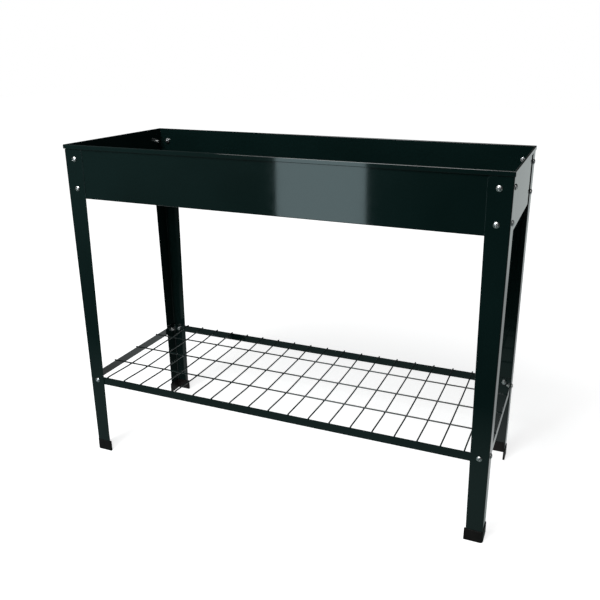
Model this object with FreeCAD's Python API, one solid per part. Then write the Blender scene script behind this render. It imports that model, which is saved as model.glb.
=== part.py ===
"""Raised planter: a bolted sheet-steel trough on four angle legs, with a wire shelf near the ground.

Frame: millimetres, +Z up, origin on the ground under the middle of the planter. +X runs along
the trough's length, the front faces -Y and the back faces +Y.
"""

import FreeCAD
import Part
import math
import os

Vector = FreeCAD.Vector

# Overall size
TROUGH_LENGTH = 1000.0  # over the outer faces of the end panels
TROUGH_WIDTH = 376.0  # over the outer faces of the front and back panels
TROUGH_DEPTH = 123.0
OVERALL_HEIGHT = 795.0

# Trough sheet
PANEL_SHEET = 0.8
PANEL_BEND = 0.8  # inside radius of the folds
PANEL_CORNER_ROUND = 1.5  # lets the panel corners sit inside the legs' bend
RETURN_FLANGE = 13.0  # folded inward under the floor pan
LIP_OVERHANG = 3.0  # the rim is folded outward and down in an open hem
HEM_HEIGHT = 9.5
HEM_BEND = 0.9

# Floor pan
PAN_EDGE_HEIGHT = 33.0
PAN_CORNER_RADIUS = 3.0
PAN_BEND_RADIUS = 2.0
BEAD_RADIUS = 8.0
BEAD_HEIGHT = 3.0
BEAD_LENGTH = 300.0
BAY_COUNT = 6  # bays of drain holes between the stiffening beads
DRAIN_DIAMETER = 8.0

# Legs
LEG_SHEET = 1.5
LEG_BEND = 1.0
LEG_CLEARANCE = 1.5  # between a leg's top and the hem's lower edge
LEG_FLANGE_TOP = 48.0
LEG_FLANGE_BOTTOM = 36.0
LEG_CORNER_ROUND = 7.0

# Foot caps
CAP_HEIGHT = 28.0
CAP_FLOOR = 3.0
CAP_WALL = 1.8
CAP_END_WALL = 3.5
CAP_EDGE_ROUND = 0.7

# Shelf
SHELF_TOP = 213.0
STRIP_HEIGHT = 20.0
STRIP_THICKNESS = 2.0
STRIP_CORNER_RADIUS = 8.0
WIRE_DIAMETER = 3.5
WIRE_OVERHANG = 1.0
CROSS_WIRE_COUNT = 19
CROSS_WIRE_PITCH = 50.0
LONG_WIRE_COUNT = 3
CRANK_START = 11.0  # from a cross wire's end to its crank
CRANK_LENGTH = 73.0
CRANK_RADIUS = 280.0

# M6 bolts and nuts
BOLT_DIAMETER = 6.0
BOLT_LENGTH = 12.0
BOLT_TIP_CHAMFER = 0.6
HEAD_DIAMETER = 12.0
HEAD_HEIGHT = 3.4
HEAD_RIM = 1.0
RECESS_LENGTH = 6.0
RECESS_FLOOR_LENGTH = 2.0
RECESS_WIDTH = 1.5
RECESS_DEPTH = 1.9
HOLE_DIAMETER = 6.6
NUT_SIDES = 6
NUT_FLATS = 10.0
NUT_THICKNESS = 5.0
NUT_BORE = 6.1
NUT_CHAMFER = 1.0

# Bolt places: insets from a leg's outer faces, drops from the rim
TROUGH_BOLT_INSET = 25.7
UPPER_BOLT_DROP = 32.5
LOWER_BOLT_DROP = 100.0
SHELF_BOLT_INSET = 20.3

# Worked out
HALF_LENGTH = TROUGH_LENGTH / 2
HALF_WIDTH = TROUGH_WIDTH / 2
TROUGH_BOTTOM = OVERALL_HEIGHT - TROUGH_DEPTH
HEM_BOTTOM = OVERALL_HEIGHT - HEM_HEIGHT
PAN_UNDERSIDE = TROUGH_BOTTOM + PANEL_SHEET
LEG_TOP = HEM_BOTTOM - LEG_CLEARANCE
SHELF_BOTTOM = SHELF_TOP - STRIP_HEIGHT
BOLT_LEVELS = {
    "upper": (TROUGH_BOLT_INSET, OVERALL_HEIGHT - UPPER_BOLT_DROP),
    "lower": (TROUGH_BOLT_INSET, OVERALL_HEIGHT - LOWER_BOLT_DROP),
    "shelf": (SHELF_BOLT_INSET, (SHELF_TOP + SHELF_BOTTOM) / 2),
}
# Thickness that each level of bolts clamps between its head and its nut
GRIPS = {
    "upper": LEG_SHEET + PANEL_SHEET,
    "lower": LEG_SHEET + 2 * PANEL_SHEET,
    "shelf": LEG_SHEET + STRIP_THICKNESS,
}
CORNERS = {
    "front_left": (-1, -1),
    "front_right": (1, -1),
    "back_left": (-1, 1),
    "back_right": (1, 1),
}
TOLERANCE = 1e-6
ORIGIN = Vector(0, 0, 0)
X_AXIS = Vector(1, 0, 0)
Y_AXIS = Vector(0, 1, 0)
Z_AXIS = Vector(0, 0, 1)


def left_of(direction):
    """The direction a quarter turn to the left, seen from above."""
    return Vector(-direction.y, direction.x, 0)


def bend_points(before, corner, after, thickness, radius):
    """Start, middle and end of one bend, on the near side and on the far side of the sheet."""
    first = (corner - before).normalize()
    second = (after - corner).normalize()
    turn = 1 if first.cross(second).z > 0 else -1
    near = radius + (thickness if turn > 0 else 0)
    far = radius + (thickness if turn < 0 else 0)
    both = left_of(first) + left_of(second)
    centre = corner + both * (turn * near / (1 + left_of(first).dot(left_of(second))))
    spokes = (left_of(first), both.normalize(), left_of(second))
    return [[centre - spoke * (turn * size) for spoke in spokes] for size in (near, far)]


def folded_sheet_face(points, thickness, radii):
    """Section of a folded sheet. The points run along its near side; it is thick to their left."""
    points = [Vector(x, y, 0) for x, y in points]
    first = (points[1] - points[0]).normalize()
    last = (points[-1] - points[-2]).normalize()
    tips = [points[0], points[0] + left_of(first) * thickness]
    ends = [points[-1], points[-1] + left_of(last) * thickness]
    edges = [Part.makeLine(*tips), Part.makeLine(*ends)]
    for i, radius in enumerate(radii, start=1):
        bends = bend_points(points[i - 1], points[i], points[i + 1], thickness, radius)
        for side, (start, middle, end) in enumerate(bends):
            edges.append(Part.makeLine(tips[side], start))
            edges.append(Part.Arc(start, middle, end).toShape())
            tips[side] = end
    edges += [Part.makeLine(tip, end) for tip, end in zip(tips, ends)]
    return Part.Face(Part.Wire(Part.__sortEdges__(edges)))


def is_upright(edge):
    """Whether a straight edge stands along Z."""
    start, end = (vertex.Point for vertex in edge.Vertexes)
    return (end - start).cross(Z_AXIS).Length < TOLERANCE


def rounded_box(length, width, bottom, top, radius):
    """Box centred on the Z axis, with rounded upright edges."""
    corner = Vector(-length / 2, -width / 2, bottom)
    box = Part.makeBox(length, width, top - bottom, corner)
    return box.makeFillet(radius, [edge for edge in box.Edges if is_upright(edge)])


def prism(points, direction):
    """Straight prism on a closed outline of corner points."""
    return Part.Face(Part.makePolygon([*points, points[0]])).extrude(direction)


# ---------------------------------------------------------------- bolts, nuts and their holes


def bolt_places(level):
    """Each side's bolt places at one level: points on the legs' outer faces, with the way out."""
    inset, height = BOLT_LEVELS[level]
    face_x = HALF_LENGTH + LEG_SHEET
    face_y = HALF_WIDTH + LEG_SHEET
    places = {"front": [], "back": [], "left_end": [], "right_end": []}
    for side_x, side_y in CORNERS.values():
        long_side = "front" if side_y < 0 else "back"
        short_side = "left_end" if side_x < 0 else "right_end"
        on_long_side = Vector(side_x * (face_x - inset), side_y * face_y, height)
        on_short_side = Vector(side_x * face_x, side_y * (face_y - inset), height)
        places[long_side].append((on_long_side, Y_AXIS * side_y))
        places[short_side].append((on_short_side, X_AXIS * side_x))
    return places


def drilled(shape, levels):
    """The shape with the bolt holes of these levels cut through it."""
    radius = HOLE_DIAMETER / 2
    reach = BOLT_LENGTH
    holes = [
        Part.makeCylinder(radius, 2 * reach, point - outward * reach, outward)
        for level in levels
        for side in bolt_places(level).values()
        for point, outward in side
    ]
    return shape.cut(holes)


def bolt():
    """Pan-head bolt with a cross recess, along Z, its head on the plane z = 0."""
    dome_height = HEAD_HEIGHT - HEAD_RIM
    dome_radius = (dome_height**2 + (HEAD_DIAMETER / 2) ** 2) / (2 * dome_height)
    dome = Part.makeSphere(dome_radius, Z_AXIS * (HEAD_HEIGHT - dome_radius))
    head = Part.makeCylinder(HEAD_DIAMETER / 2, HEAD_HEIGHT).common(dome)
    radius = BOLT_DIAMETER / 2
    tip_radius = radius - BOLT_TIP_CHAMFER
    straight = BOLT_LENGTH - BOLT_TIP_CHAMFER
    shank = Part.makeCylinder(radius, straight, ORIGIN, -Z_AXIS)
    tip = Part.makeCone(radius, tip_radius, BOLT_TIP_CHAMFER, -Z_AXIS * straight, -Z_AXIS)
    return head.fuse([shank, tip]).cut([recess_slot(0), recess_slot(90)])


def recess_slot(angle):
    """One of the two crossed slots of a bolt head: it gets shorter towards its floor."""
    side = -RECESS_WIDTH / 2
    floor = HEAD_HEIGHT - RECESS_DEPTH
    corners = [
        Vector(-RECESS_LENGTH / 2, side, HEAD_HEIGHT),
        Vector(RECESS_LENGTH / 2, side, HEAD_HEIGHT),
        Vector(RECESS_FLOOR_LENGTH / 2, side, floor),
        Vector(-RECESS_FLOOR_LENGTH / 2, side, floor),
    ]
    slot = prism(corners, Vector(0, RECESS_WIDTH, 0))
    slot.rotate(ORIGIN, Z_AXIS, angle)
    return slot


def nut():
    """Hexagon nut on the Z axis, its bearing face on the plane z = 0, reaching down."""
    across_corners = NUT_FLATS / math.cos(math.pi / NUT_SIDES)
    turns = [2 * math.pi * i / NUT_SIDES for i in range(NUT_SIDES)]
    corners = [Vector(math.cos(turn), math.sin(turn), 0) * (across_corners / 2) for turn in turns]
    hexagon = prism(corners, -Z_AXIS * NUT_THICKNESS)
    back = -Z_AXIS * NUT_THICKNESS
    back_radius = across_corners / 2 - NUT_CHAMFER
    chamfer = Part.makeCone(back_radius, back_radius + NUT_THICKNESS, NUT_THICKNESS, back, Z_AXIS)
    bore = Part.makeCylinder(NUT_BORE / 2, NUT_THICKNESS, back)
    return hexagon.common(chamfer).cut(bore)


def facing(shape, point, outward):
    """A copy of a shape drawn along Z, turned to face outward and moved to the point."""
    placed = shape.copy()
    placed.Placement = FreeCAD.Placement(point, FreeCAD.Rotation(Z_AXIS, outward))
    return placed


def bolts(side, levels):
    """The bolts of one side at these levels."""
    return [facing(bolt(), *place) for level in levels for place in bolt_places(level)[side]]


def nuts(side, levels):
    """The nuts of one side at these levels, behind what their bolts clamp."""
    return [
        facing(nut(), point - outward * GRIPS[level], outward)
        for level in levels
        for point, outward in bolt_places(level)[side]
    ]


# ---------------------------------------------------------------- trough


def panel_section():
    """Section of a trough panel, with X outward and Y up: return flange, web and open hem."""
    under_rim = OVERALL_HEIGHT - PANEL_SHEET
    hem_inner = LIP_OVERHANG - PANEL_SHEET
    return folded_sheet_face(
        [
            (-RETURN_FLANGE, TROUGH_BOTTOM),
            (0, TROUGH_BOTTOM),
            (0, under_rim),
            (hem_inner, under_rim),
            (hem_inner, HEM_BOTTOM),
        ],
        PANEL_SHEET,
        [PANEL_BEND, HEM_BEND, HEM_BEND],
    )


def panel(outward, half_span, half_length):
    """Trough panel facing outward, mitred at both ends where it meets its neighbours."""
    reach = half_length + LIP_OVERHANG
    section = panel_section()
    section.rotate(ORIGIN, X_AXIS, 90)
    section.translate(Vector(half_span, reach, 0))
    full_length = section.extrude(Vector(0, -2 * reach, 0))
    inner_x = half_span - RETURN_FLANGE
    inner_y = half_length - RETURN_FLANGE
    outer_x = half_span + LIP_OVERHANG
    mitre = [(inner_x, inner_y), (outer_x, reach), (outer_x, -reach), (inner_x, -inner_y)]
    shape = full_length.common(prism([Vector(x, y, 0) for x, y in mitre], Z_AXIS * OVERALL_HEIGHT))
    shape.rotate(ORIGIN, Z_AXIS, math.degrees(math.atan2(outward.y, outward.x)))
    return drilled(shape.cut(square_corner_posts()), ("upper", "lower"))


def square_corner_posts():
    """What rounding the trough's upright corners takes away, up to the hem."""
    square = Part.makeBox(
        TROUGH_LENGTH,
        TROUGH_WIDTH,
        HEM_BOTTOM - TROUGH_BOTTOM,
        Vector(-HALF_LENGTH, -HALF_WIDTH, TROUGH_BOTTOM),
    )
    rounded = rounded_box(TROUGH_LENGTH, TROUGH_WIDTH, TROUGH_BOTTOM, HEM_BOTTOM, PANEL_CORNER_ROUND)
    return square.cut(rounded)


def bead(x, shrink):
    """Half-round stiffening bead across the pan, with round ends, made smaller by shrink."""
    radius = BEAD_RADIUS - shrink
    axis_height = PAN_UNDERSIDE + PANEL_SHEET + BEAD_HEIGHT - BEAD_RADIUS
    ends = [Vector(x, side * BEAD_LENGTH / 2, axis_height) for side in (-1, 1)]
    bar = Part.makeCylinder(radius, BEAD_LENGTH, ends[0], Y_AXIS)
    return bar.fuse([Part.makeSphere(radius, end) for end in ends])


def trough_floor():
    """Floor pan: upturned edges, stiffening beads pressed up, and drain holes between them."""
    length = TROUGH_LENGTH - 2 * PANEL_SHEET
    width = TROUGH_WIDTH - 2 * PANEL_SHEET
    top = PAN_UNDERSIDE + PAN_EDGE_HEIGHT
    floor_top = PAN_UNDERSIDE + PANEL_SHEET
    outer = with_rounded_bottom(
        rounded_box(length, width, PAN_UNDERSIDE, top, PAN_CORNER_RADIUS), PAN_BEND_RADIUS
    )
    inside = rounded_box(
        length - 2 * PANEL_SHEET,
        width - 2 * PANEL_SHEET,
        floor_top,
        top,
        PAN_CORNER_RADIUS - PANEL_SHEET,
    )
    pan = outer.cut(with_rounded_bottom(inside, PAN_BEND_RADIUS - PANEL_SHEET))
    bay = TROUGH_LENGTH / BAY_COUNT
    bead_rows = [bay * (i - BAY_COUNT / 2) for i in range(1, BAY_COUNT)]
    above = Part.makeBox(length, width, BEAD_RADIUS, Vector(-length / 2, -width / 2, PAN_UNDERSIDE))
    pan = pan.fuse([bead(x, 0).common(above) for x in bead_rows])
    pan = pan.cut([bead(x, PANEL_SHEET) for x in bead_rows])
    bay_middles = [x + bay / 2 for x in [-HALF_LENGTH, *bead_rows]]
    pan = pan.cut([drain(x, side * TROUGH_WIDTH / 4) for x in bay_middles for side in (-1, 1)])
    return drilled(pan, ("lower",)).removeSplitter()


def drain(x, y):
    """What a drain hole takes out of the pan."""
    start = Vector(x, y, PAN_UNDERSIDE - PANEL_SHEET)
    return Part.makeCylinder(DRAIN_DIAMETER / 2, 3 * PANEL_SHEET, start)


def with_rounded_bottom(box, radius):
    """The box with the edges of its underside rounded."""
    bottom = box.BoundBox.ZMin
    edges = [edge for edge in box.Edges if edge.BoundBox.ZMax < bottom + TOLERANCE]
    return box.makeFillet(radius, edges)


# ---------------------------------------------------------------- legs and foot caps


def angle_prism(flange, thickness, outset, bottom, top, bend):
    """Angle along Z with its outer corner outset beyond the leg's, and flanges towards -X and -Y."""
    corner_x = HALF_LENGTH + LEG_SHEET + outset
    corner_y = HALF_WIDTH + LEG_SHEET + outset
    section = folded_sheet_face(
        [(corner_x, corner_y - flange), (corner_x, corner_y), (corner_x - flange, corner_y)],
        thickness,
        [bend],
    )
    section.translate(Vector(0, 0, bottom))
    return section.extrude(Z_AXIS * (top - bottom))


def flange_width(height):
    """Width of a leg's flanges, which taper evenly from the top of the leg to the ground."""
    return LEG_FLANGE_BOTTOM + (LEG_FLANGE_TOP - LEG_FLANGE_BOTTOM) * height / LEG_TOP


def back_right_leg():
    """Tapered angle leg with a rounded top corner on each flange."""
    angle = angle_prism(LEG_FLANGE_TOP, LEG_SHEET, 0, CAP_FLOOR, LEG_TOP, LEG_BEND)
    face_x = HALF_LENGTH + LEG_SHEET
    face_y = HALF_WIDTH + LEG_SHEET
    keep_x = flange_blank(face_x)
    keep_y = flange_blank(face_y)
    across_y = prism([Vector(x, 0, z) for x, z in keep_x], Y_AXIS * 2 * face_y)
    across_x = prism([Vector(0, y, z) for y, z in keep_y], X_AXIS * 2 * face_x)
    leg = angle.common(across_y).common(across_x)
    corners = []
    for edge in leg.Edges:
        box = edge.BoundBox
        beyond = min(box.XMax - face_x, box.YMax - face_y)
        if box.ZMin > LEG_TOP - TOLERANCE and beyond < -LEG_FLANGE_TOP / 2:
            corners.append(edge)
    return leg.makeFillet(LEG_CORNER_ROUND, corners)


def flange_blank(face):
    """Corners of the tapered outline of one flange, along an axis whose outer face is given."""
    outside = face + LEG_SHEET
    return [
        (outside, CAP_FLOOR),
        (outside, LEG_TOP),
        (face - LEG_FLANGE_TOP, LEG_TOP),
        (face - flange_width(CAP_FLOOR), CAP_FLOOR),
    ]


def back_right_foot_cap(leg):
    """Moulded L-shaped sleeve closed at the bottom, which the leg's end stands in."""
    thickness = LEG_SHEET + 2 * CAP_WALL
    flange = flange_width(CAP_HEIGHT) + CAP_WALL + CAP_END_WALL
    block = angle_prism(flange, thickness, CAP_WALL, 0, CAP_HEIGHT, LEG_BEND)
    rims = [edge for edge in block.Edges if edge.BoundBox.ZMin > CAP_HEIGHT - TOLERANCE]
    return block.makeFillet(CAP_EDGE_ROUND, rims).cut(leg)


def mirrored(shape, side_x, side_y):
    """The back right piece mirrored to another corner."""
    placed = shape.copy()
    if side_x < 0:
        placed = placed.mirror(ORIGIN, X_AXIS)
    if side_y < 0:
        placed = placed.mirror(ORIGIN, Y_AXIS)
    return placed


# ---------------------------------------------------------------- shelf


def shelf_frame():
    """Ring of flat strip on edge, bent round its corners and welded closed."""
    outer = rounded_box(TROUGH_LENGTH, TROUGH_WIDTH, SHELF_BOTTOM, SHELF_TOP, STRIP_CORNER_RADIUS)
    inner = rounded_box(
        TROUGH_LENGTH - 2 * STRIP_THICKNESS,
        TROUGH_WIDTH - 2 * STRIP_THICKNESS,
        SHELF_BOTTOM,
        SHELF_TOP,
        STRIP_CORNER_RADIUS - STRIP_THICKNESS,
    )
    return drilled(outer.cut(inner), ("shelf",))


def cross_wire(x):
    """Wire across the shelf, under the long wires, cranked up at its ends onto the frame."""
    reach = HALF_WIDTH + WIRE_OVERHANG
    high = SHELF_TOP + WIRE_DIAMETER / 2
    low = SHELF_TOP - WIRE_DIAMETER / 2
    half = [
        Vector(x, reach, high),
        Vector(x, reach - CRANK_START, high),
        Vector(x, reach - CRANK_START - CRANK_LENGTH, low),
    ]
    points = half + [Vector(point.x, -point.y, point.z) for point in reversed(half)]
    circle = Part.Wire(Part.makeCircle(WIRE_DIAMETER / 2, points[0], Y_AXIS))
    return rounded_path(points, CRANK_RADIUS).makePipeShell([circle], True, True)


def rounded_path(points, radius):
    """Wire through the points, with each inner corner replaced by a tangent arc."""
    edges = []
    tip = points[0]
    for before, corner, after in zip(points, points[1:], points[2:]):
        back = (before - corner).normalize()
        ahead = (after - corner).normalize()
        half_angle = back.getAngle(ahead) / 2
        setback = radius / math.tan(half_angle)
        to_centre = (back + ahead).normalize()
        middle = corner + to_centre * (radius / math.sin(half_angle) - radius)
        start = corner + back * setback
        end = corner + ahead * setback
        edges += [Part.makeLine(tip, start), Part.Arc(start, middle, end).toShape()]
        tip = end
    edges.append(Part.makeLine(tip, points[-1]))
    return Part.Wire(edges)


def cross_wires():
    """Evenly spaced wires across the shelf."""
    first_x = -(CROSS_WIRE_COUNT - 1) / 2 * CROSS_WIRE_PITCH
    return [cross_wire(first_x + i * CROSS_WIRE_PITCH) for i in range(CROSS_WIRE_COUNT)]


def long_wires():
    """Straight, evenly spaced wires along the shelf, resting on the ends of the frame."""
    radius = WIRE_DIAMETER / 2
    reach = HALF_LENGTH + WIRE_OVERHANG
    pitch = TROUGH_WIDTH / (LONG_WIRE_COUNT + 1)
    places = [pitch * (i + 1) - HALF_WIDTH for i in range(LONG_WIRE_COUNT)]
    starts = [Vector(-reach, y, SHELF_TOP + radius) for y in places]
    return [Part.makeCylinder(radius, 2 * reach, start, X_AXIS) for start in starts]


# ---------------------------------------------------------------- the planter


def build_nodes():
    """Every node of the planter: a name and its solids."""
    leg = back_right_leg()
    cap = back_right_foot_cap(leg)
    leg = drilled(leg, BOLT_LEVELS)
    nodes = {
        "front_panel": [panel(-Y_AXIS, HALF_WIDTH, HALF_LENGTH)],
        "back_panel": [panel(Y_AXIS, HALF_WIDTH, HALF_LENGTH)],
        "left_end_panel": [panel(-X_AXIS, HALF_LENGTH, HALF_WIDTH)],
        "right_end_panel": [panel(X_AXIS, HALF_LENGTH, HALF_WIDTH)],
        "trough_floor": [trough_floor()],
        "shelf_frame": [shelf_frame()],
        "shelf_cross_wires": cross_wires(),
        "shelf_long_wires": long_wires(),
    }
    for corner, (side_x, side_y) in CORNERS.items():
        nodes[f"{corner}_leg"] = [mirrored(leg, side_x, side_y)]
        nodes[f"{corner}_foot_cap"] = [mirrored(cap, side_x, side_y)]
    for side in ("front", "back", "left_end", "right_end"):
        nodes[f"{side}_trough_bolts"] = bolts(side, ("upper", "lower"))
        nodes[f"{side}_trough_nuts"] = nuts(side, ("upper", "lower"))
        nodes[f"{side}_shelf_bolts"] = bolts(side, ("shelf",))
        nodes[f"{side}_shelf_nuts"] = nuts(side, ("shelf",))
    return nodes


def main():
    os.makedirs("parts", exist_ok=True)
    for name, solids in build_nodes().items():
        Part.makeCompound(solids).exportStep(f"parts/{name}.step")
        print(name, len(solids), "solids", all(solid.isValid() for solid in solids))


main()
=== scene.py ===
"""Looks of a raised planter: gloss paint on folded sheet steel, zinc-plated bolts, moulded foot caps.

Metres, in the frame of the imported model: +Z up, the front faces -Y. Places come from the boxes of
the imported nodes.
"""

import math
import random

import bmesh
import bpy
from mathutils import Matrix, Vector, noise


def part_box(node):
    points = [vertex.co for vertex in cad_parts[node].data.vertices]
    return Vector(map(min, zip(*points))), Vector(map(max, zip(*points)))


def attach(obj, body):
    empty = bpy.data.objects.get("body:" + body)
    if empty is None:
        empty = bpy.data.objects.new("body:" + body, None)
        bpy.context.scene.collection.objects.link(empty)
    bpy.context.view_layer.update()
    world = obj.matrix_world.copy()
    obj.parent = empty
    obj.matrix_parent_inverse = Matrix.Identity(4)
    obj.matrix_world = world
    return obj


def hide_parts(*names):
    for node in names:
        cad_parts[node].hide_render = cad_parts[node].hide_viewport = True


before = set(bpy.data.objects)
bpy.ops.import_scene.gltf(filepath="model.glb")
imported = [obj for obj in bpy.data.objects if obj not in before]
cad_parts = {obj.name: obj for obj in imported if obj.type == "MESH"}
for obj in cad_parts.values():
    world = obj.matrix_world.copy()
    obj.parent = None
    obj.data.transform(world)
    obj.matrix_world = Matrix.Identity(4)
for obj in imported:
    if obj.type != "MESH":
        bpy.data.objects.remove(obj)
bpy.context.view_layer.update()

MM = 0.001
X_AXIS = Vector((1, 0, 0))
Y_AXIS = Vector((0, 1, 0))
Z_AXIS = Vector((0, 0, 1))

# Sizes that the boxes don't give
SOFT_EDGE = 0.5 * MM  # paint rounds the cut edges of sheets
PANEL_SHEET = 0.8 * MM
PANEL_FOLD = 1.2 * MM  # radius of the middle of the sheet
HEM_HEIGHT = 9.5 * MM
HEM_FOLD = 1.3 * MM
HEM_CURL = 0.45 * MM  # the hem's lower edge turns in a little
MITRE_GAP = 0.15 * MM
LEG_SHEET = 1.5 * MM
LEG_FOLD = 1.75 * MM
LEG_FLANGE_AT_GROUND = 36 * MM
LEG_CORNER_ROUND = 7 * MM
CAP_WALL = 1.8 * MM
CAP_EDGE_ROUND = 0.7 * MM
CAP_DRAFT = 0.25 * MM
CAP_POCKET_CLEARANCE = 0.3 * MM
CAP_POCKET_DEPTH = 3 * MM
CAP_POCKET_BEVEL = 0.2 * MM
CAP_PLAIN_START = 2 * MM  # from the cap's edges to the first plain row of its wall
STRIP_THICKNESS = 2 * MM
STRIP_CORNER_RADIUS = 8 * MM
WIRE_PITCH = 50 * MM
LONG_WIRE_COUNT = 3
CRANK_START = 11 * MM  # from a cross wire's end to its crank
CRANK_LENGTH = 73 * MM
CRANK_RADIUS = 280 * MM
NUGGET_AT_CROSSING = (1.25, 1.25, 0.55)  # weld nuggets' radii along X, Y and Z, in wire radii
NUGGET_ON_LONG_RAIL = (1.35, 0.85, 0.6)
NUGGET_ON_SHORT_RAIL = (0.85, 1.35, 0.6)
SEAM_LUMP = (1.9 * MM, 0.6 * MM, 1.1 * MM)  # radii of one lump of the frame's closing weld
SEAM_PITCH = 1.3 * MM
SEAM_SETBACK = 1.5 * MM  # from the strip's edges to the first and last lump
SEAM_SINK = 0.2 * MM  # of the lumps' middles into the strip
BOLT_RADIUS = 3 * MM
BOLT_LENGTH = 12 * MM
BOLT_TIP_BEVEL = 0.8 * MM
BOLT_TIP_SLOPE = 0.8  # radius lost for each length along the bevel
HEAD_UNDERCUT = 0.1 * MM  # between the head's underside and the shank's first ring
THREAD_PITCH = 1 * MM
THREAD_DEPTH = 0.35 * MM
THREADED_LENGTH = 7.5 * MM
HEAD_RADIUS = 6 * MM
HEAD_HEIGHT = 3.4 * MM
HEAD_RIM = 1 * MM
HEAD_DOME_POWER = 2.4  # over 2, so flatter in the middle and rounder at the shoulder
RECESS_REACH = 3.5 * MM
RECESS_HALF_WIDTH = 0.85 * MM
RECESS_WALL = 0.35 * MM
RECESS_DEPTH = 2.2 * MM
RECESS_END_WALL = 2.5 * RECESS_WALL
NUT_FLATS = 10 * MM
NUT_BORE_RADIUS = 3.05 * MM
NUT_FACE_SHARE = 0.94  # a face's flat circle, as a share of the width over flats
NUT_BEVEL = 0.45 * MM
FLOOR_REACH = 12  # metres each way from the planter

# How far real sheet and wire stray from straight and flat
PANEL_WEB_BULGE = 0.03 * MM
PANEL_RIM_BULGE = 0.07 * MM
LEG_BOW = 0.15 * MM
STRIP_BOW = 0.2 * MM
CROSS_WIRE_BOW = 0.5 * MM
LONG_WIRE_BOW = 0.4 * MM
STRIP_SEED = 11
LONG_WIRE_SEED = 30  # of the first long wire; panels, legs and cross wires count theirs from 0

# Fineness of the meshes
STATION = 12 * MM  # spacing of the rows of points along sheets and wires
PANEL_ROW = 8 * MM  # longest stretch across a panel's section
STRIP_ROW = 4 * MM
CAP_ROW = 4 * MM
FLANGE_PIECES = 6  # pieces of each flange across an angle's section
FOLD_STEPS = 8  # pieces of an angle's or a strip's bend
CRANK_STEPS = 4  # pieces of each bend of a cross wire
WIRE_SIDES = 20
HEAD_SIDES = 72
SHANK_SIDES = 24
NUT_SIDES = 48
THREAD_STEPS = 6  # rings for each turn of thread
LEG_CORNER_TURNS = (12, 24, 36, 48, 58, 66)  # degrees round a flange's top corner
CAP_EDGE_TURNS = (0, 22, 45, 67, 90)  # degrees round a cap's top edge
SHARP_ANGLE = math.radians(40)  # edges that turn more than this stay sharp
SAME_POINT = 0.001 * MM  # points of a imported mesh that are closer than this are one
SEED_SPACING = 7.3  # between two seeds' places in the noise

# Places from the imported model
leg_low, leg_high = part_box("back_right_leg")
rim_low, rim_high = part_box("back_panel")
cap_low, cap_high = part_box("back_right_foot_cap")
shelf_low, shelf_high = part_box("shelf_frame")
wire_low, wire_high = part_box("shelf_cross_wires")
rod_low, rod_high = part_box("shelf_long_wires")
FACE = Vector((leg_high.x, leg_high.y))  # outer faces of the legs
TROUGH = FACE - Vector((LEG_SHEET, LEG_SHEET))  # outer faces of the trough's panels
HEM_OVERHANG = rim_high.x - TROUGH.x
RETURN_FLANGE = TROUGH.y - rim_low.y
LEG_FLANGE_AT_TOP = leg_high.x - leg_low.x
WIRE_RADIUS = (rod_high.z - rod_low.z) / 2
CORNERS = {
    "front_left": (-1, -1),
    "front_right": (1, -1),
    "back_left": (-1, 1),
    "back_right": (1, 1),
}
SIDES = {"front": -Y_AXIS, "back": Y_AXIS, "left_end": -X_AXIS, "right_end": X_AXIS}


# ---------------------------------------------------------------- shapes


def rounded_line(points, radii, steps=6):
    """The open line through 2D points, with each inner corner made an arc."""
    line = [Vector(points[0])]
    for before, corner, after, radius in zip(points, points[1:], points[2:], radii):
        corner = Vector(corner)
        back = (Vector(before) - corner).normalized()
        ahead = (Vector(after) - corner).normalized()
        half_angle = back.angle(ahead) / 2
        centre = corner + (back + ahead).normalized() * (radius / math.sin(half_angle))
        start = corner + back * (radius / math.tan(half_angle)) - centre
        end = corner + ahead * (radius / math.tan(half_angle)) - centre
        spokes = [start.slerp(end, i / steps).normalized() for i in range(steps + 1)]
        line += [centre + spoke * radius for spoke in spokes]
    line.append(Vector(points[-1]))
    return line


def subdivided(line, spacing):
    """The line with points added so that no stretch is longer than the spacing."""
    result = [line[0]]
    for start, end in zip(line, line[1:]):
        pieces = max(1, math.ceil((end - start).length / spacing))
        result += [start.lerp(end, i / pieces) for i in range(1, pieces + 1)]
    return result


def with_divided_ends(line, count):
    """The line with its first and last stretches cut into that many pieces."""
    first = [line[0].lerp(line[1], i / count) for i in range(count)]
    last = [line[-2].lerp(line[-1], (i + 1) / count) for i in range(count)]
    return first + line[1:-1] + last


def sheet_outline(line, thickness):
    """Closed outline of a sheet about its 2D middle line, with softened edges at both ends."""
    last = len(line) - 1
    ways = [(line[min(i + 1, last)] - line[max(i - 1, 0)]).normalized() for i in range(last + 1)]
    normals = [Vector((-way.y, way.x)) for way in ways]
    half = thickness / 2
    soft = min(SOFT_EDGE, 0.7 * half)
    cut = 0.3 * soft  # what rounding takes off the end's corners
    left = [point + normal * half for point, normal in zip(line, normals)]
    right = [point - normal * half for point, normal in zip(line, normals)]
    left[0] += ways[0] * soft
    right[0] += ways[0] * soft
    left[last] -= ways[last] * soft
    right[last] -= ways[last] * soft
    ends = []
    for i, outward in ((last, ways[last]), (0, -ways[0])):
        side = normals[i] * (1 if i else -1)
        for share, inset in ((1, cut), (0.35, 0), (-0.35, 0), (-1, cut)):
            ends.append(line[i] - outward * inset + side * (share * (half - cut)))
    return left + ends[:4] + right[::-1] + ends[4:]


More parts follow.
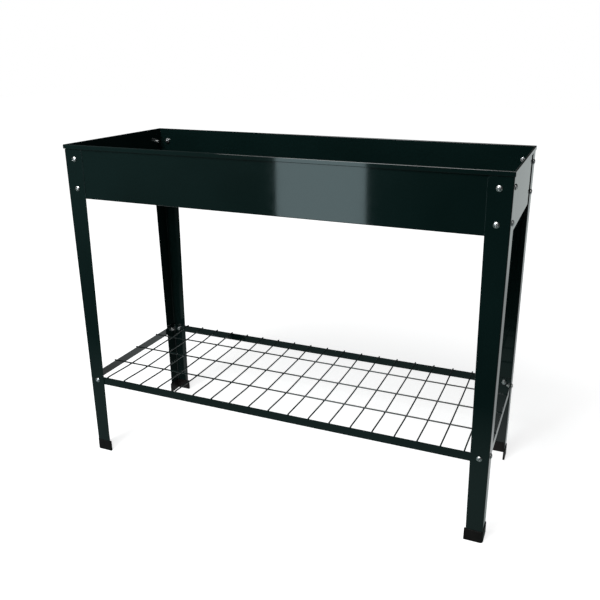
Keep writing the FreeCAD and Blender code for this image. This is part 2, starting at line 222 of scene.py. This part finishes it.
def make_piece(name, build, material, nodes):
    """Mesh object from a function that fills a bmesh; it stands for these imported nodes."""
    bm = bmesh.new()
    build(bm)
    bmesh.ops.recalc_face_normals(bm, faces=bm.faces)
    mesh = bpy.data.meshes.new(name)
    bm.to_mesh(mesh)
    bm.free()
    mesh.shade_smooth()
    mesh.set_sharp_from_angle(angle=SHARP_ANGLE)
    mesh.materials.append(material)
    piece = bpy.data.objects.new(name, mesh)
    bpy.context.scene.collection.objects.link(piece)
    flatten = piece.modifiers.new("flat_faces_stay_flat", "WEIGHTED_NORMAL")
    flatten.keep_sharp = True
    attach(piece, "root")
    if nodes:
        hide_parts(*nodes)


def loft(bm, loops, closed=False):
    """Skin over a row of loops with equal numbers of points; closed joins the last to the first."""
    rings = [[bm.verts.new(point) for point in loop] for loop in loops]
    followers = rings[1:] + rings[:1] if closed else rings[1:]
    for near, far in zip(rings, followers):
        for i in range(len(near)):
            j = (i + 1) % len(near)
            bm.faces.new((near[i], near[j], far[j], far[i]))
    if not closed:
        bm.faces.new(rings[0][::-1])
        bm.faces.new(rings[-1])


def ripple(x, y, seed):
    """Smooth unevenness between about -1 and 1; x and y are lengths times waves per metre."""
    return noise.noise(Vector((x, y, seed * SEED_SPACING)))


def held_ends(share):
    """1 in the middle of a length and 0 at its ends, where share is -1 and 1."""
    return 1 - share**4


def even_steps(start, end, spacing):
    """Values from start to end, about one spacing apart."""
    count = max(1, round(abs(end - start) / spacing))
    return [start + (end - start) * i / count for i in range(count + 1)]


# ---------------------------------------------------------------- trough


def panel_line():
    """Middle line of a panel's section: how far out from its face, and the height."""
    half = PANEL_SHEET / 2
    bottom = rim_low.z + half
    top = rim_high.z - half
    hem = HEM_OVERHANG - half
    corners = [
        (-RETURN_FLANGE, bottom),
        (-half, bottom),
        (-half, top),
        (hem, top),
        (hem, rim_high.z - HEM_HEIGHT + 2 * HEM_CURL),
        (hem - HEM_CURL, rim_high.z - HEM_HEIGHT),
    ]
    return rounded_line(corners, [PANEL_FOLD, HEM_FOLD, HEM_FOLD, HEM_CURL])


def panel_bulge(along, height, seed):
    """How far a panel stands out from flat: a long wave that grows to the rim, and finer ones below."""
    span = rim_high.z - HEM_HEIGHT - rim_low.z
    share = min(max((height - rim_low.z) / span, 0), 1)
    web = PANEL_WEB_BULGE * math.sin(math.pi * share) * ripple(along * 7, height * 10, seed)
    edge = PANEL_RIM_BULGE * share * ripple(along * 4, 0, seed + 3)
    return web + edge


def build_panel(bm, outward, seed):
    """Panel facing outward, mitred at both ends."""
    across = outward.cross(Z_AXIS)
    face, span = (TROUGH.x, TROUGH.y) if outward.x else (TROUGH.y, TROUGH.x)
    outline = sheet_outline(subdivided(panel_line(), PANEL_ROW), PANEL_SHEET)
    loops = []
    for station in even_steps(-1, 1, STATION / span):
        loop = []
        for out, height in outline:
            along = station * (span + out - MITRE_GAP)
            bulge = panel_bulge(along, height, seed) * held_ends(station)
            loop.append(outward * (face + out + bulge) + across * along + Z_AXIS * height)
        loops.append(loop)
    loft(bm, loops)


def make_panels(paint):
    for seed, (side, outward) in enumerate(SIDES.items()):
        node = f"{side}_panel"

        def build(bm):
            build_panel(bm, outward, seed)

        make_piece(f"{node}_sheet", build, paint, [node])


# ---------------------------------------------------------------- legs and foot caps


def angle_outline(outset, thickness, flange, inset, fold):
    """Outline of an angle in plan, its corner outset beyond the leg's outer faces, shrunk by inset."""
    middle = thickness / 2 - outset
    corner = FACE - Vector((middle, middle))
    tip = flange - outset - inset
    ends = [(corner.x, FACE.y - tip), tuple(corner), (FACE.x - tip, corner.y)]
    line = with_divided_ends(rounded_line(ends, [fold], FOLD_STEPS), FLANGE_PIECES)
    return sheet_outline(line, thickness - 2 * inset)


def leg_flange(height):
    """Width of the flanges: an even taper, and a rounded corner at the top."""
    taper = (LEG_FLANGE_AT_TOP - LEG_FLANGE_AT_GROUND) * height / leg_high.z
    into_corner = max(0, height - (leg_high.z - LEG_CORNER_ROUND))
    kept = math.sqrt(max(0, LEG_CORNER_ROUND**2 - into_corner**2))
    return LEG_FLANGE_AT_GROUND + taper - (LEG_CORNER_ROUND - kept)


def leg_stations():
    """Heights with insets: rows up the leg, close together round its top corners and softened ends."""
    start = leg_high.z - LEG_CORNER_ROUND
    rows = [(leg_low.z, SOFT_EDGE), (leg_low.z + SOFT_EDGE, 0)]
    rows += [(height, 0) for height in even_steps(leg_low.z + 2 * SOFT_EDGE, start, STATION)]
    turns = [math.radians(angle) for angle in LEG_CORNER_TURNS]
    rows += [(start + LEG_CORNER_ROUND * math.sin(turn), 0) for turn in turns]
    rows += [(leg_high.z - SOFT_EDGE, 0), (leg_high.z, SOFT_EDGE)]
    return rows


def build_leg(bm, side_x, side_y, seed):
    """Angle of bent sheet that narrows towards the ground, at the corner with these signs."""
    loops = []
    for height, inset in leg_stations():
        loop = []
        for x, y in angle_outline(0, LEG_SHEET, leg_flange(height), inset, LEG_FOLD):
            bow = LEG_BOW * ripple(height * 5, x * 8 + y * 8, seed)
            loop.append(Vector(((x + bow) * side_x, (y + bow) * side_y, height)))
        loops.append(loop)
    loft(bm, loops)


def build_foot_cap(bm, side_x, side_y):
    """Sleeve with rounded edges and a little draft, hollow around the leg."""
    thickness = LEG_SHEET + 2 * CAP_WALL
    top = cap_high.z
    flange = cap_high.x - cap_low.x
    rows = [(0, 2 * SOFT_EDGE), (0.4 * SOFT_EDGE, SOFT_EDGE), (1.5 * SOFT_EDGE, 0)]
    plain = even_steps(CAP_PLAIN_START, top - CAP_PLAIN_START, CAP_ROW)
    rows += [(height, CAP_DRAFT * height / top) for height in plain]
    for angle in CAP_EDGE_TURNS:
        turn = math.radians(angle)
        height = top - CAP_EDGE_ROUND * (1 - math.sin(turn))
        rows.append((height, CAP_DRAFT + CAP_EDGE_ROUND * (1 - math.cos(turn))))
    loops = []
    for height, inset in rows:
        outline = angle_outline(CAP_WALL, thickness, flange, inset, LEG_FOLD + CAP_WALL)
        loops.append([Vector((x * side_x, y * side_y, height)) for x, y in outline])
    pocket = LEG_SHEET + 2 * CAP_POCKET_CLEARANCE
    pocket_flange = leg_flange(top) + 2 * CAP_POCKET_CLEARANCE
    for height in (top - CAP_POCKET_BEVEL, top - CAP_POCKET_DEPTH):
        outline = angle_outline(CAP_POCKET_CLEARANCE, pocket, pocket_flange, 0, LEG_FOLD)
        loops.append([Vector((x * side_x, y * side_y, height)) for x, y in outline])
    loft(bm, loops)


def make_legs(paint, plastic):
    for seed, (corner, (side_x, side_y)) in enumerate(CORNERS.items()):
        leg = f"{corner}_leg"
        cap = f"{corner}_foot_cap"

        def build_angle(bm):
            build_leg(bm, side_x, side_y, seed)

        def build_sleeve(bm):
            build_foot_cap(bm, side_x, side_y)

        make_piece(f"{leg}_angle", build_angle, paint, [leg])
        make_piece(f"{cap}_sleeve", build_sleeve, plastic, [cap])


# ---------------------------------------------------------------- shelf


def build_shelf_frame(bm):
    """Ring of strip on edge, with softened edges, closed by a weld in the middle of the back."""
    middle = STRIP_THICKNESS / 2
    half_x = shelf_high.x - middle
    half_y = shelf_high.y - middle
    weld = (0, half_y)
    ring = [(-half_x, half_y), (-half_x, -half_y), (half_x, -half_y), (half_x, half_y)]
    bend = STRIP_CORNER_RADIUS - middle
    path = subdivided(rounded_line([weld, *ring, weld], [bend] * 4, FOLD_STEPS), STATION)[:-1]
    upright = [Vector((0, z)) for z in even_steps(shelf_low.z, shelf_high.z, STRIP_ROW)]
    section = sheet_outline(upright, STRIP_THICKNESS)
    loops = []
    for i, point in enumerate(path):
        way = (path[(i + 1) % len(path)] - path[i - 1]).normalized()
        outward = Vector((way.y, -way.x))
        bow = STRIP_BOW * ripple(point.x * 5, point.y * 5, STRIP_SEED)
        loop = []
        for out, height in section:
            place = point + outward * (out + bow)
            loop.append(Vector((place.x, place.y, height)))
        loops.append(loop)
    loft(bm, loops, closed=True)


def build_wire(bm, points, side):
    """Round wire through 3D points that lie in a plane square to side, with eased ends."""
    ends = [(0, 0.72), (0.12 * WIRE_RADIUS, 0.9), (0.4 * WIRE_RADIUS, 1)]  # distance, share of radius
    first = (points[1] - points[0]).normalized()
    last = (points[-2] - points[-1]).normalized()
    rows = [(points[0] + first * back, size) for back, size in ends]
    rows += [(point, 1) for point in points[1:-1]]
    rows += [(points[-1] + last * back, size) for back, size in reversed(ends)]
    loops = []
    for i, (centre, size) in enumerate(rows):
        way = rows[min(i + 1, len(rows) - 1)][0] - rows[max(i - 1, 0)][0]
        up = side.cross(way).normalized()
        turns = [2 * math.pi * j / WIRE_SIDES for j in range(WIRE_SIDES)]
        radius = WIRE_RADIUS * size
        loops.append([centre + (side * math.cos(t) + up * math.sin(t)) * radius for t in turns])
    loft(bm, loops)


def cross_wire_places():
    """X of each cross wire, at an even pitch about the middle."""
    count = round((wire_high.x - wire_low.x) / WIRE_PITCH) + 1
    return [WIRE_PITCH * (i - (count - 1) / 2) for i in range(count)]


def long_wire_places():
    """Y of each long wire, evenly spaced between the trough's faces."""
    pitch = 2 * TROUGH.y / (LONG_WIRE_COUNT + 1)
    return [pitch * (i + 1) - TROUGH.y for i in range(LONG_WIRE_COUNT)]


def build_cross_wires(bm):
    """Wires under the long wires, cranked up at both ends onto the frame."""
    reach = wire_high.y
    high = shelf_high.z + WIRE_RADIUS
    low = shelf_high.z - WIRE_RADIUS
    half = [(reach, high), (reach - CRANK_START, high), (reach - CRANK_START - CRANK_LENGTH, low)]
    corners = half + [(-y, z) for y, z in reversed(half)]
    line = subdivided(rounded_line(corners, [CRANK_RADIUS] * 4, CRANK_STEPS), STATION)
    for i, x in enumerate(cross_wire_places()):
        points = []
        for y, z in line:
            bow = CROSS_WIRE_BOW * ripple(y * 5, 0, i) * held_ends(y / reach)
            points.append(Vector((x + bow, y, z)))
        build_wire(bm, points, X_AXIS)


def build_long_wires(bm):
    """Straight wires on top, with the small bow that welding leaves."""
    for i, y in enumerate(long_wire_places()):
        points = []
        for x in even_steps(rod_low.x, rod_high.x, STATION):
            bow = LONG_WIRE_BOW * ripple(x * 4, 0, i + LONG_WIRE_SEED) * held_ends(x / rod_high.x)
            points.append(Vector((x, y + bow, shelf_high.z + WIRE_RADIUS)))
        build_wire(bm, points, Y_AXIS)


def add_nugget(bm, centre, radii, chance):
    """Small uneven lump of weld metal under the paint."""
    lump_height = 0.16
    lumps_across = 1.7
    made = bmesh.ops.create_icosphere(bm, subdivisions=2, radius=1)
    seed = chance.uniform(0, 50)
    for vertex in made["verts"]:
        lump = 1 + lump_height * noise.noise(vertex.co * lumps_across + Vector((seed, 0, 0)))
        offset = Vector([a * b for a, b in zip(vertex.co, radii)]) * lump
        vertex.co = centre + offset


def build_welds(bm):
    """Welds where the wires cross and where they lie on the frame, and the frame's closing weld."""
    chance = random.Random(4)
    top = shelf_high.z
    rail_y = shelf_high.y - STRIP_THICKNESS / 2
    rail_x = shelf_high.x - STRIP_THICKNESS / 2
    crossing = [share * WIRE_RADIUS for share in NUGGET_AT_CROSSING]
    on_long_rail = [share * WIRE_RADIUS for share in NUGGET_ON_LONG_RAIL]
    on_short_rail = [share * WIRE_RADIUS for share in NUGGET_ON_SHORT_RAIL]
    for x in cross_wire_places():
        for y in long_wire_places():
            add_nugget(bm, Vector((x, y, top)), crossing, chance)
        for side in (-1, 1):
            add_nugget(bm, Vector((x, side * rail_y, top)), on_long_rail, chance)
    for y in long_wire_places():
        for side in (-1, 1):
            add_nugget(bm, Vector((side * rail_x, y, top)), on_short_rail, chance)
    for height in even_steps(shelf_low.z + SEAM_SETBACK, top - SEAM_SETBACK, SEAM_PITCH):
        add_nugget(bm, Vector((0, shelf_high.y - SEAM_SINK, height)), SEAM_LUMP, chance)


def make_shelf(paint):
    make_piece("shelf_frame_strip", build_shelf_frame, paint, ["shelf_frame"])
    make_piece("shelf_cross_rods", build_cross_wires, paint, ["shelf_cross_wires"])
    make_piece("shelf_long_rods", build_long_wires, paint, ["shelf_long_wires"])
    make_piece("shelf_welds", build_welds, paint, [])


# ---------------------------------------------------------------- bolts and nuts


def solid_boxes(node):
    """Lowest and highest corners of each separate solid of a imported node."""
    bm = bmesh.new()
    bm.from_mesh(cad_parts[node].data)
    bmesh.ops.remove_doubles(bm, verts=bm.verts, dist=SAME_POINT)
    left = set(bm.verts)
    boxes = []
    while left:
        waiting = [left.pop()]
        solid = []
        while waiting:
            vertex = waiting.pop()
            solid.append(vertex)
            near = {edge.other_vert(vertex) for edge in vertex.link_edges} & left
            left -= near
            waiting += near
        low = Vector([min(v.co[i] for v in solid) for i in range(3)])
        high = Vector([max(v.co[i] for v in solid) for i in range(3)])
        boxes.append((low, high))
    bm.free()
    return sorted(boxes, key=lambda box: tuple(box[0]))


def turned_rings(rings, base, outward, turn):
    """Rings of (radius, height) given by functions of the angle, set on a base point and turned."""
    across = outward.orthogonal().normalized()
    other = outward.cross(across)
    loops = []
    for ring, sides in rings:
        loop = []
        for i in range(sides):
            angle = 2 * math.pi * i / sides
            radius, height = ring(angle)
            way = across * math.cos(angle + turn) + other * math.sin(angle + turn)
            loop.append(base + way * radius + outward * height)
        loops.append(loop)
    return loops


def smooth(value):
    """Eased step from 0 to 1, flat at both ends."""
    value = min(max(value, 0), 1)
    return value * value * (3 - 2 * value)


def head_height(radius, angle):
    """Top of a pan head: a shallow dome with a cross recess."""
    dome = (HEAD_HEIGHT - HEAD_RIM) * (1 - (radius / HEAD_RADIUS) ** HEAD_DOME_POWER) + HEAD_RIM
    nearest = radius * min(abs(math.cos(angle)), abs(math.sin(angle)))
    in_slot = smooth((RECESS_HALF_WIDTH + RECESS_WALL / 2 - nearest) / RECESS_WALL)
    in_reach = smooth((RECESS_REACH - radius) / RECESS_END_WALL)
    return dome - RECESS_DEPTH * in_slot * in_reach


def head_rings():
    """Rings over a pan head from its underside to its middle, at shares of its radius."""
    under = [(0.5, 0), (0.96, 0), (1, 0.25 * MM), (1, 0.7 * MM)]  # share, height
    shoulder = [0.995, 0.96, 0.9, 0.82, 0.72, 0.62]
    recess = [0.54, 0.49, 0.45, 0.4, 0.34, 0.28, 0.22, 0.17, 0.12, 0.07, 0.02]
    rings = [(lambda angle, r=r, z=z: (HEAD_RADIUS * r, z), HEAD_SIDES) for r, z in under]
    for share in shoulder + recess:
        radius = HEAD_RADIUS * share
        rings.append((lambda angle, r=radius: (r, head_height(r, angle)), HEAD_SIDES))
    return rings


def shank_rings():
    """Rings along a shank from under the head to its tip; the thread is a helical ripple."""
    thread_start = BOLT_LENGTH - THREADED_LENGTH

    def ring_at(depth):
        def ring(angle):
            turns = (depth / THREAD_PITCH - angle / (2 * math.pi)) % 1
            ridge = 1 - abs(2 * turns - 1)
            fade = smooth((depth - thread_start) / THREAD_PITCH)
            tip = max(0, depth - (BOLT_LENGTH - BOLT_TIP_BEVEL)) * BOLT_TIP_SLOPE
            return BOLT_RADIUS - THREAD_DEPTH * (1 - ridge) * fade - tip, -depth
        return ring

    smooth_part = [HEAD_UNDERCUT, thread_start]
    threaded = even_steps(thread_start, BOLT_LENGTH, THREAD_PITCH / THREAD_STEPS)[1:]
    return [(ring_at(depth), SHANK_SIDES) for depth in smooth_part + threaded]


def hexagon_radius(angle):
    """From a nut's axis to its side at that angle."""
    return NUT_FLATS / 2 / math.cos((angle + math.pi / 6) % (math.pi / 3) - math.pi / 6)


def nut_rings(thickness):
    """Rings round a nut from its bore over both chamfered faces and back to the bore."""
    flat = NUT_FACE_SHARE * NUT_FLATS / 2
    mouth = NUT_BORE_RADIUS + NUT_BEVEL

    def chamfer(angle):
        return (hexagon_radius(angle) - flat) * math.tan(math.pi / 6)

    rings = [
        lambda angle: (NUT_BORE_RADIUS, -NUT_BEVEL),
        lambda angle: (mouth, 0),
        lambda angle: (flat, 0),
        lambda angle: (hexagon_radius(angle), -chamfer(angle)),
        lambda angle: (hexagon_radius(angle), chamfer(angle) - thickness),
        lambda angle: (flat, -thickness),
        lambda angle: (mouth, -thickness),
        lambda angle: (NUT_BORE_RADIUS, NUT_BEVEL - thickness),
    ]
    return [(ring, NUT_SIDES) for ring in rings]


def bearing_point(box, outward, reach):
    """Middle of a fastener's box, moved along outward to the plane at that reach."""
    middle = (box[0] + box[1]) / 2
    return middle + outward * (reach - middle.dot(outward))


def build_bolts(bm, node, outward, chance):
    """Bolts of one node, their heads on the legs' outer faces, each turned at random."""
    face = FACE.x if outward.x else FACE.y
    for box in solid_boxes(node):
        base = bearing_point(box, outward, face)
        turn = chance.uniform(0, math.pi)
        loft(bm, turned_rings(head_rings(), base, outward, turn))
        loft(bm, turned_rings(shank_rings(), base, outward, turn))


def build_nuts(bm, node, outward, chance):
    """Nuts of one node, each as thick as its box and turned at random."""
    for box in solid_boxes(node):
        limits = [corner.dot(outward) for corner in box]
        base = bearing_point(box, outward, max(limits))
        rings = nut_rings(max(limits) - min(limits))
        loft(bm, turned_rings(rings, base, outward, chance.uniform(0, math.pi)), closed=True)


def make_fasteners(zinc):
    chance = random.Random(8)
    for side, outward in SIDES.items():
        for level in ("trough", "shelf"):
            for kind, build_kind in (("bolts", build_bolts), ("nuts", build_nuts)):
                node = f"{side}_{level}_{kind}"

                def build(bm):
                    build_kind(bm, node, outward, chance)

                make_piece(f"{node}_m6", build, zinc, [node])


# ---------------------------------------------------------------- materials


def new_material(name):
    """A material with its node tree, its shader and the object coordinates."""
    material = bpy.data.materials.new(name)
    material.use_nodes = True
    tree = material.node_tree
    shader = tree.nodes["Principled BSDF"]
    place = tree.nodes.new("ShaderNodeTexCoord").outputs["Object"]
    return material, tree, shader, place


def add_noise(tree, place, scale, detail, roughness=0.5):
    """Noise at that many cycles per metre."""
    node = tree.nodes.new("ShaderNodeTexNoise")
    node.inputs["Scale"].default_value = scale
    node.inputs["Detail"].default_value = detail
    node.inputs["Roughness"].default_value = roughness
    tree.links.new(place, node.inputs["Vector"])
    return node.outputs["Fac"]


def add_range(tree, value, low, high, to_low=0, to_high=1):
    """The value moved from its range, low to high, to another, and held at its ends."""
    node = tree.nodes.new("ShaderNodeMapRange")
    for name, number in (("From Min", low), ("From Max", high), ("To Min", to_low), ("To Max", to_high)):
        node.inputs[name].default_value = number
    tree.links.new(value, node.inputs["Value"])
    return node.outputs["Result"]


def add_mix(tree, share, first, second):
    """Mix of two colours; each is a colour or another node's output."""
    node = tree.nodes.new("ShaderNodeMix")
    node.data_type = "RGBA"
    tree.links.new(share, node.inputs["Factor"])
    for socket, value in ((node.inputs["A"], first), (node.inputs["B"], second)):
        if isinstance(value, tuple):
            socket.default_value = (*value, 1)
        else:
            tree.links.new(value, socket)
    return node.outputs["Result"]


def add_bump(tree, shader, height, distance):
    """Bump that stands up to that distance out of the surface."""
    node = tree.nodes.new("ShaderNodeBump")
    node.inputs["Distance"].default_value = distance
    tree.links.new(height, node.inputs["Height"])
    tree.links.new(node.outputs["Normal"], shader.inputs["Normal"])


def green_paint():
    """Very dark bluish green gloss paint with a faint orange peel."""
    material, tree, shader, place = new_material("green_paint")
    deep = (0.0022, 0.0075, 0.0068)
    pale = (0.0034, 0.0105, 0.0098)
    dust = (0.02, 0.034, 0.032)
    cloud = add_range(tree, add_noise(tree, place, scale=3.5, detail=3), 0.35, 0.65)
    specks = add_range(tree, add_noise(tree, place, scale=900, detail=1), 0.7, 0.78, to_high=0.35)
    colour = add_mix(tree, specks, add_mix(tree, cloud, deep, pale), dust)
    tree.links.new(colour, shader.inputs["Base Color"])
    streaks = add_noise(tree, place, scale=28, detail=4, roughness=0.6)
    gloss = add_range(tree, streaks, 0.3, 0.75, to_low=0.045, to_high=0.068)
    tree.links.new(gloss, shader.inputs["Roughness"])
    peel = add_noise(tree, place, scale=240, detail=1.5)
    add_bump(tree, shader, peel, 0.003 * MM)
    shader.inputs["IOR"].default_value = 1.5
    return material


def zinc_plate():
    """Bright zinc plating with a faint passivated tint."""
    material, tree, shader, place = new_material("zinc_plate")
    yellowish = (0.6, 0.6, 0.585)
    bluish = (0.5, 0.515, 0.53)
    cloud = add_range(tree, add_noise(tree, place, scale=120, detail=3), 0.35, 0.65)
    tree.links.new(add_mix(tree, cloud, yellowish, bluish), shader.inputs["Base Color"])
    grain = add_noise(tree, place, scale=900, detail=3)
    satin = add_range(tree, grain, 0.3, 0.7, to_low=0.24, to_high=0.42)
    tree.links.new(satin, shader.inputs["Roughness"])
    add_bump(tree, shader, grain, 0.02 * MM)
    shader.inputs["Metallic"].default_value = 1
    return material


def black_plastic():
    """Moulded black plastic with a fine texture."""
    material, tree, shader, place = new_material("black_plastic")
    black = (0.0042, 0.003, 0.0028)
    scuffed = (0.0072, 0.0054, 0.005)
    cloud = add_range(tree, add_noise(tree, place, scale=60, detail=3), 0.35, 0.7)
    tree.links.new(add_mix(tree, cloud, black, scuffed), shader.inputs["Base Color"])
    dull = add_range(tree, cloud, 0, 1, to_low=0.42, to_high=0.58)
    tree.links.new(dull, shader.inputs["Roughness"])
    texture = add_noise(tree, place, scale=1500, detail=2)
    add_bump(tree, shader, texture, 0.05 * MM)
    shader.inputs["Specular IOR Level"].default_value = 0.2
    return material


# ---------------------------------------------------------------- stage, lights and camera


def seen_by_camera(tree):
    """1 for what the camera sees directly, 0 for what lights or shows in a reflection."""
    return tree.nodes.new("ShaderNodeLightPath").outputs["Is Camera Ray"]


def split_axes(tree, place):
    """The X, Y and Z of a place or a direction."""
    split = tree.nodes.new("ShaderNodeSeparateXYZ")
    tree.links.new(place, split.inputs["Vector"])
    return split.outputs


def floor_glow(tree, place):
    """Brightness of the floor's own light: full far out, a little less under the planter."""
    distance = tree.nodes.new("ShaderNodeVectorMath")
    distance.operation = "LENGTH"
    tree.links.new(place, distance.inputs[0])
    return add_range(tree, distance.outputs["Value"], 0.7, 1.5, to_low=0.8)


def floor_reflection(tree, place):
    """Shade of the floor as the gloss paint mirrors it: dark in front, and paler in bands behind."""
    axes = split_axes(tree, place)
    front_left = (0.062, 0.086, 0.083)
    front_right = (0.006, 0.009, 0.0088)
    under_left = (0.8, 0.86, 0.86)
    grey = (0.36, 0.385, 0.385)
    front = add_mix(tree, add_range(tree, axes["X"], -2.4, -0.3), front_left, front_right)
    under = add_mix(tree, add_range(tree, axes["X"], 0.2, 0.45), under_left, grey)
    bands = [  # from front to back: the stretch of Y over which a shade comes in, and the shade
        (-0.8, -0.45, (0.17, 0.23, 0.22)),
        (-0.2, 0.1, (0.55, 0.58, 0.58)),
        (0.2, 0.35, under),
        (0.6, 1.0, grey),
        (1.5, 2.2, (0.52, 0.565, 0.56)),
    ]
    shade = front
    for start, end, colour in bands:
        shade = add_mix(tree, add_range(tree, axes["Y"], start, end), shade, colour)
    return shade


def pale_floor():
    """White matt floor for the camera, and another shade in reflections and for light."""
    material, tree, shader, place = new_material("pale_floor")
    shader.inputs["Base Color"].default_value = (0.55, 0.55, 0.55, 1)
    shader.inputs["Roughness"].default_value = 1
    shader.inputs["Specular IOR Level"].default_value = 0
    shader.inputs["Emission Color"].default_value = (1, 1, 1, 1)
    tree.links.new(floor_glow(tree, place), shader.inputs["Emission Strength"])
    reflected = tree.nodes.new("ShaderNodeEmission")
    tree.links.new(floor_reflection(tree, place), reflected.inputs["Color"])
    choice = tree.nodes.new("ShaderNodeMixShader")
    tree.links.new(seen_by_camera(tree), choice.inputs["Fac"])
    tree.links.new(reflected.outputs["Emission"], choice.inputs[1])
    tree.links.new(shader.outputs["BSDF"], choice.inputs[2])
    tree.links.new(choice.outputs["Shader"], tree.nodes["Material Output"].inputs["Surface"])
    return material


def make_floor():
    mesh = bpy.data.meshes.new("floor")
    corners = [(x * FLOOR_REACH, y * FLOOR_REACH, 0) for x, y in ((-1, -1), (1, -1), (1, 1), (-1, 1))]
    mesh.from_pydata(corners, [], [(0, 1, 2, 3)])
    mesh.materials.append(pale_floor())
    floor = bpy.data.objects.new("floor", mesh)
    bpy.context.scene.collection.objects.link(floor)


def make_world():
    """White around the object for the camera; in reflections a dim room, a little paler on the left."""
    world = bpy.data.worlds.new("studio")
    world.use_nodes = True
    bpy.context.scene.world = world
    tree = world.node_tree
    background = tree.nodes["Background"]
    way = tree.nodes.new("ShaderNodeTexCoord").outputs["Generated"]
    to_the_right = add_range(tree, split_axes(tree, way)["X"], -0.65, 0.0)
    left_shade = (0.12, 0.13, 0.13)
    right_shade = (0.03, 0.03, 0.03)
    white = (1, 1, 1)
    room = add_mix(tree, to_the_right, left_shade, right_shade)
    tree.links.new(add_mix(tree, seen_by_camera(tree), room, white), background.inputs["Color"])


def add_soft_box(name, place, target, size, power, colour=(1, 1, 1)):
    """Rectangular lamp that faces its target; its size is in metres and its power in watts."""
    light = bpy.data.lights.new(name, "AREA")
    light.shape = "RECTANGLE"
    light.size, light.size_y = size
    light.energy = power
    light.color = colour
    lamp = bpy.data.objects.new(name, light)
    lamp.location = place
    lamp.rotation_euler = (Vector(target) - Vector(place)).to_track_quat("-Z", "Y").to_euler()
    bpy.context.scene.collection.objects.link(lamp)


def make_lights():
    """A strip that the front panel mirrors as a pale band, and soft boxes above the front."""
    add_soft_box(
        "strip_light",
        place=(-0.521, -1.8, 1.4),
        target=(-0.521, 0, 1.4),
        size=(0.442, 3.0),
        power=12.6,
        colour=(0.7, 0.92, 0.97),
    )
    add_soft_box(
        "overhead_light",
        place=(-0.3, -1.5, 2.6),
        target=(-0.3, 0, 0.5),
        size=(2.2, 1.2),
        power=52,
    )
    add_soft_box(
        "front_light",
        place=(-0.7, -2.9, 2.4),
        target=(-0.3, 0, 0.4),
        size=(1.4, 1.4),
        power=44,
    )


def make_camera():
    """Camera in front and to the right, a little above the rim, looking down and to the left."""
    look_down = 0.327  # radians
    look_left = 0.382
    data = bpy.data.cameras.new("camera")
    data.sensor_width = 36
    data.lens = 41.08
    data.shift_x = -0.034
    data.shift_y = -0.026
    camera = bpy.data.objects.new("camera", data)
    camera.location = (0.632, -1.439, 0.994)
    camera.rotation_euler = (math.pi / 2 - look_down, 0, look_left)
    bpy.context.scene.collection.objects.link(camera)
    bpy.context.scene.camera = camera
    bpy.context.scene.view_settings.view_transform = "Standard"


def paint_floor_pan(paint):
    """The trough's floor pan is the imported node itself, in the paint."""
    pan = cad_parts["trough_floor"]
    pan.data.materials.clear()
    pan.data.materials.append(paint)


def main():
    make_camera()
    make_world()
    make_lights()
    make_floor()
    paint = green_paint()
    zinc = zinc_plate()
    plastic = black_plastic()
    make_panels(paint)
    make_legs(paint, plastic)
    make_shelf(paint)
    make_fasteners(zinc)
    paint_floor_pan(paint)


main()
